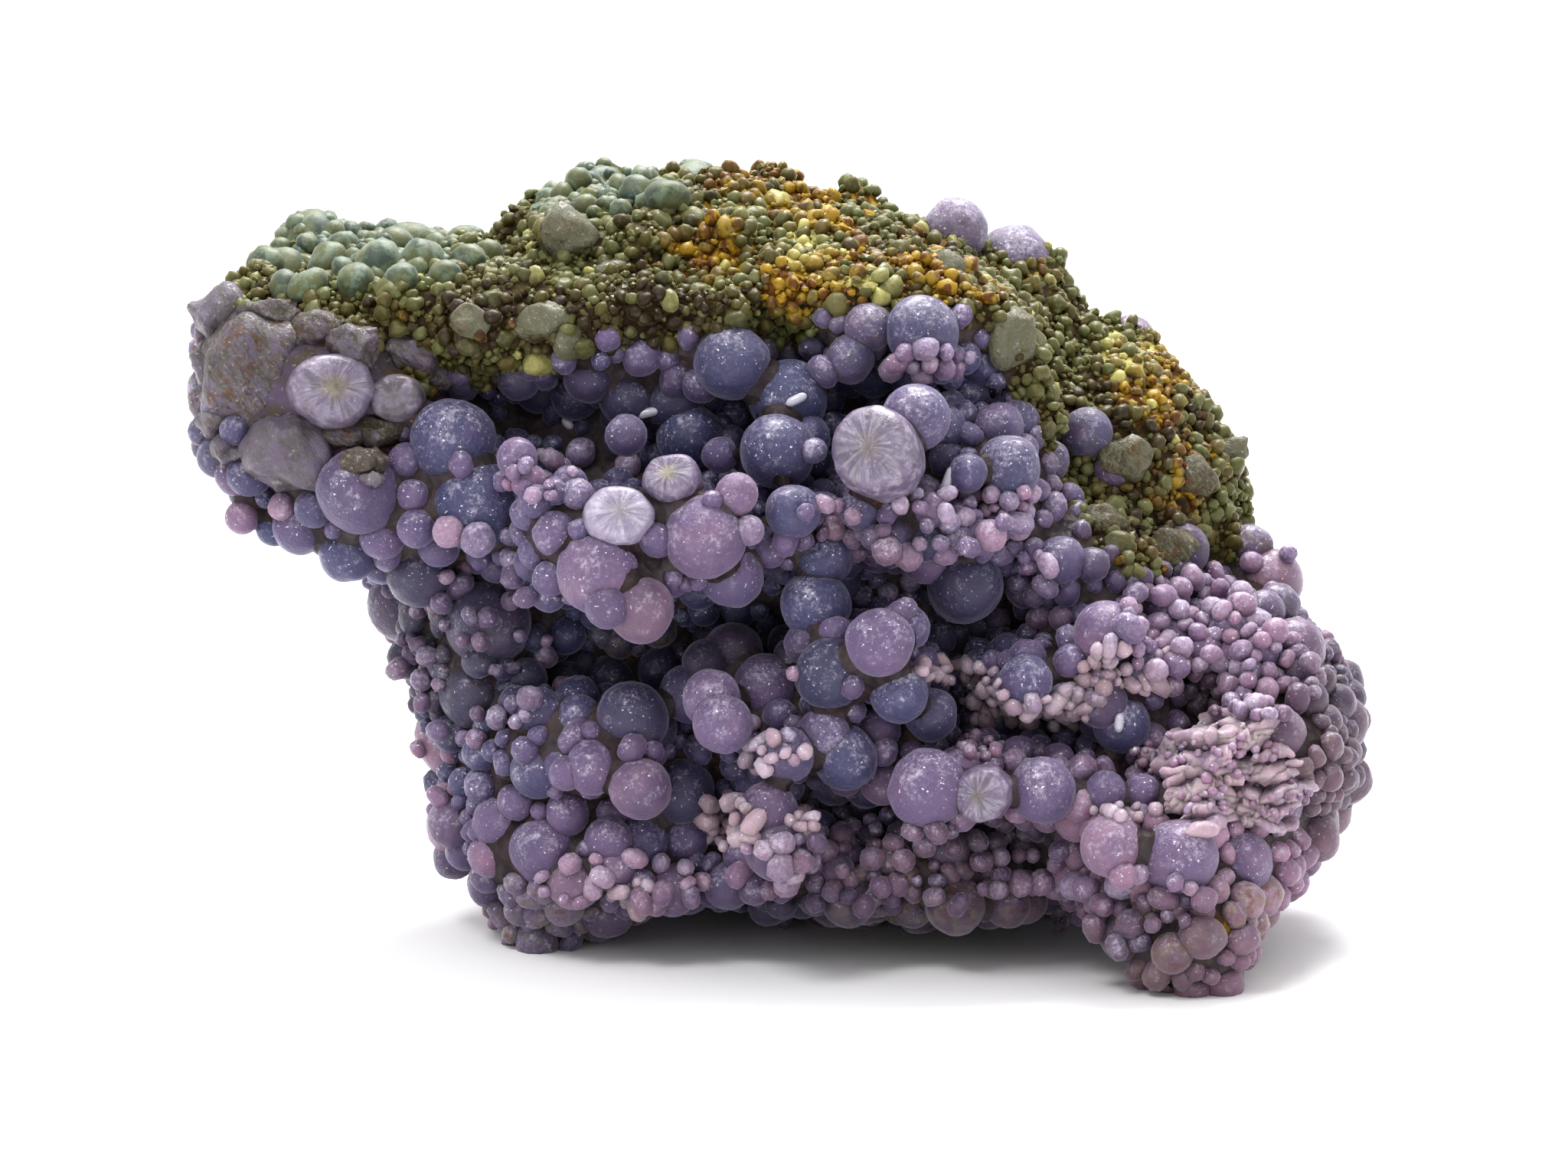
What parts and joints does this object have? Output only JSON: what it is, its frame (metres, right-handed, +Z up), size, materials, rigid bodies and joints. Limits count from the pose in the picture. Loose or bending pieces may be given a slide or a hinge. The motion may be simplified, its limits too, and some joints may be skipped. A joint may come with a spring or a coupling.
{
  "type": "botryoidal chalcedony specimen",
  "caption": "Leaning wedge of grown-together chalcedony balls in stacked ledges under a granular iron-stained crust, resting on its own feet.",
  "frame": {"origin": "on the surface that the stone rests on, under the centre of its box", "axes": "+X to the right along the ledges as seen from the front, +Y from the front with the ledges of balls to the back, +Z up"},
  "size_m": [0.0802, 0.0461, 0.0517],
  "materials": {
    "chalcedony": "satin"
  },
  "bodies": {
    "root": {"chalcedony": "chalcedony"}
  },
  "joints": []
}
